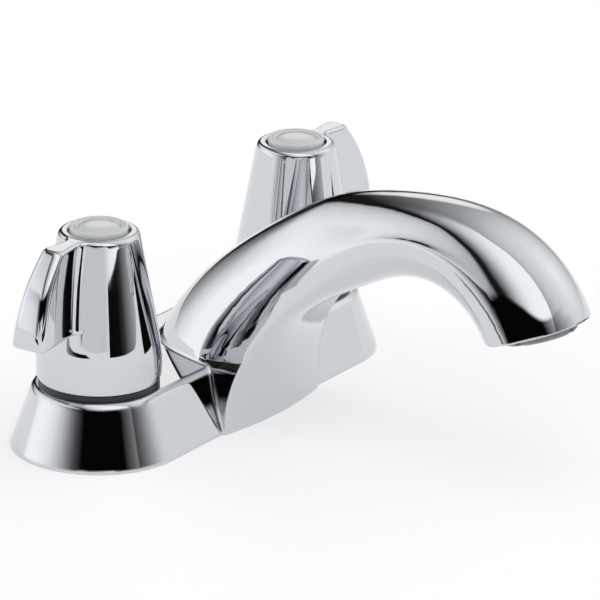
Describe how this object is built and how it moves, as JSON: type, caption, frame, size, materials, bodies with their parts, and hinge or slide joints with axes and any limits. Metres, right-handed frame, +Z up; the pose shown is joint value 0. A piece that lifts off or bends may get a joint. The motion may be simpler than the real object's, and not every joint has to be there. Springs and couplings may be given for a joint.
{
  "type": "centerset bathroom faucet",
  "caption": "Chrome centerset bathroom faucet with a swept arched spout, two cone handles with side blades and clear index caps, over a brass underbody.",
  "frame": {"origin": "The origin is the middle of the base's underside, on the deck face, halfway between the two inlets.", "axes": "+X runs to the user's right along the line of the two inlets, the longest extent; -Y runs towards the user along the spout; +Z is up, away from the deck."},
  "size_m": [0.1728, 0.159, 0.1233],
  "materials": {
    "chrome": "mirror-bright chrome plate",
    "brass": "turned brass",
    "copper": "drawn copper tube",
    "steel": "stainless steel",
    "rubber": "black rubber",
    "black_plastic": "black acetal",
    "grey_plastic": "grey moulded plastic",
    "clear_plastic": "clear acrylic"
  },
  "bodies": {
    "deck_body": {"spout_body": "chrome", "deck_gasket": "black_plastic", "mixing_tee": "brass", "spout_tube": "copper", "aerator_housing": "grey_plastic", "aerator_insert": "grey_plastic", "aerator_washer": "rubber", "hot_valve_body": "brass", "hot_valve_seat": "rubber", "hot_seat_spring": "steel", "hot_bonnet_nut": "brass", "hot_trim_ring": "black_plastic", "hot_mounting_washer": "steel", "hot_mounting_nut": "black_plastic", "hot_feed_tube": "copper", "cold_valve_body": "brass", "cold_valve_seat": "rubber", "cold_seat_spring": "steel", "cold_bonnet_nut": "brass", "cold_trim_ring": "black_plastic", "cold_mounting_washer": "steel", "cold_mounting_nut": "black_plastic", "cold_feed_tube": "copper"},
    "hot_control": {"hot_handle": "chrome", "hot_index_cap": "clear_plastic", "hot_handle_screw": "steel", "hot_stem": "brass", "hot_stem_oring": "rubber"},
    "cold_control": {"cold_handle": "chrome", "cold_index_cap": "clear_plastic", "cold_handle_screw": "steel", "cold_stem": "brass", "cold_stem_oring": "rubber"}
  },
  "joints": [
    {"name": "hot_turn", "type": "hinge", "parent": "deck_body", "child": "hot_control", "pos_m": [-0.0508, 0, 0.0213], "axis": [0, 0, 1], "range_deg": [0, 90]},
    {"name": "cold_turn", "type": "hinge", "parent": "deck_body", "child": "cold_control", "pos_m": [0.0508, 0, 0.0213], "axis": [0, 0, -1], "range_deg": [0, 90]}
  ]
}
